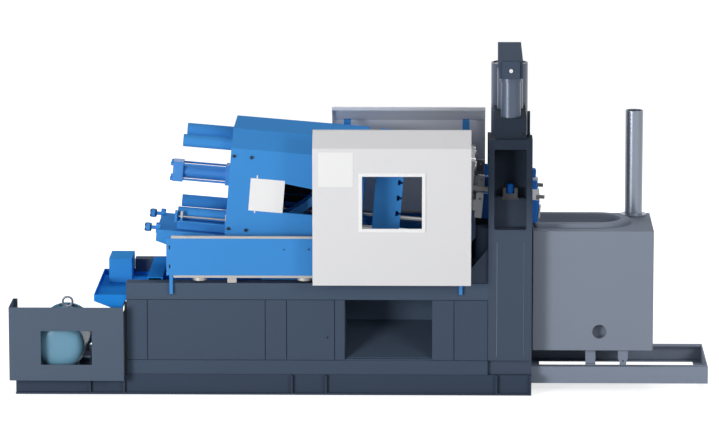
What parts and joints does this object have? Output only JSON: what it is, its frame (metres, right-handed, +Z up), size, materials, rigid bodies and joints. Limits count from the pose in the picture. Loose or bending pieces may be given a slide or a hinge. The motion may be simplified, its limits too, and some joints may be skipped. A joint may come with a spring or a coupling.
{
  "type": "hot-chamber die casting machine",
  "caption": "Hot-chamber die casting machine with a tilted toggle clamp under a blue hood, sliding guard doors, a shot tower and a furnace on rails.",
  "frame": {"origin": "on the floor, midway between the ends and between the two long sides", "axes": "+X from the pump motor to the furnace, +Y from the operator to the far side, +Z up"},
  "size_m": [4.22, 1.125, 2.038],
  "materials": {
    "base_paint": "satin",
    "tower_paint": "satin",
    "blue_paint": "satin",
    "door_paint": "satin",
    "furnace_paint": "satin",
    "motor_paint": "satin",
    "bright_steel": "satin",
    "chrome": "polished",
    "link_steel": "satin",
    "hose_rubber": "matt",
    "plate_white": "satin",
    "trim_white": "satin",
    "pump_iron": "matt"
  },
  "bodies": {
    "machine": {"base_skid": "base_paint", "base_body": "base_paint", "base_panels": "base_paint", "chute": "base_paint", "motor_guard": "base_paint", "pump_motor": "motor_paint", "motor_eye": "chrome", "hydraulic_pump": "pump_iron", "pump_hose": "hose_rubber", "drip_tray": "blue_paint", "tray_box": "blue_paint", "cross_tube": "blue_paint", "clamp_bed": "blue_paint", "end_flanges": "blue_paint", "tail_platen": "blue_paint", "clamp_cylinder": "blue_paint", "tie_bars": "bright_steel", "tie_bar_sleeves": "blue_paint", "linear_scale": "bright_steel", "clamp_hood": "blue_paint", "hood_plate": "plate_white", "fixed_platen": "bright_steel", "tower": "tower_paint", "head_cylinders": "tower_paint", "accumulator_tube": "tower_paint", "head_beam": "tower_paint", "nozzle_mount": "blue_paint", "furnace_rails": "furnace_paint", "rail_panels": "blue_paint", "door_rails": "bright_steel"},
    "platen": {"moving_platen": "blue_paint"},
    "crosshead": {"clamp_rod": "chrome", "crosshead": "link_steel"},
    "rear_upper": {"rear_link_upper": "blue_paint"},
    "front_upper": {"front_link_upper": "blue_paint"},
    "rear_lower": {"rear_link_lower": "blue_paint"},
    "front_lower": {"front_link_lower": "blue_paint"},
    "front_door": {"front_door": "door_paint", "window_frame": "trim_white", "front_door_rollers": "bright_steel"},
    "rear_door": {"rear_door": "door_paint", "rear_door_rollers": "bright_steel"},
    "furnace": {"furnace_shell": "furnace_paint", "furnace_rim": "furnace_paint", "flue": "furnace_paint", "furnace_feet": "furnace_paint"}
  },
  "joints": [
    {"name": "platen_slide", "type": "slide", "parent": "machine", "child": "platen", "axis": [0.9965, 0, -0.0837], "range_m": [0, 0.13]},
    {"name": "crosshead_slide", "type": "slide", "parent": "machine", "child": "crosshead", "axis": [0.9965, 0, -0.0837], "range_m": [0, 0.13]},
    {"name": "rear_upper_pivot", "type": "hinge", "parent": "machine", "child": "rear_upper", "pos_m": [-0.41879, 0, 1.47899], "axis": [0, -1, 0], "range_deg": [0, 29.32]},
    {"name": "front_upper_pivot", "type": "hinge", "parent": "platen", "child": "front_upper", "pos_m": [0.05554, 0, 1.43916], "axis": [0, 1, 0], "range_deg": [0, 29.32]},
    {"name": "rear_lower_pivot", "type": "hinge", "parent": "machine", "child": "rear_lower", "pos_m": [-0.45812, 0, 1.01064], "axis": [0, 1, 0], "range_deg": [0, 29.32]},
    {"name": "front_lower_pivot", "type": "hinge", "parent": "platen", "child": "front_lower", "pos_m": [0.01621, 0, 0.97081], "axis": [0, -1, 0], "range_deg": [0, 29.32]},
    {"name": "front_door_slide", "type": "slide", "parent": "machine", "child": "front_door", "axis": [1, 0, 0], "range_m": [-0.85, 0]},
    {"name": "rear_door_slide", "type": "slide", "parent": "machine", "child": "rear_door", "axis": [1, 0, 0], "range_m": [-0.85, 0]},
    {"name": "furnace_slide", "type": "slide", "parent": "machine", "child": "furnace", "axis": [1, 0, 0], "range_m": [0, 0.28]}
  ],
  "couplings": [
    {"joint": "crosshead_slide", "follows": "platen_slide", "ratio": 1},
    {"joint": "rear_upper_pivot", "follows": "platen_slide", "rad_per_m": 3.9363},
    {"joint": "front_upper_pivot", "follows": "platen_slide", "rad_per_m": 3.9363},
    {"joint": "rear_lower_pivot", "follows": "platen_slide", "rad_per_m": 3.9363},
    {"joint": "front_lower_pivot", "follows": "platen_slide", "rad_per_m": 3.9363}
  ]
}
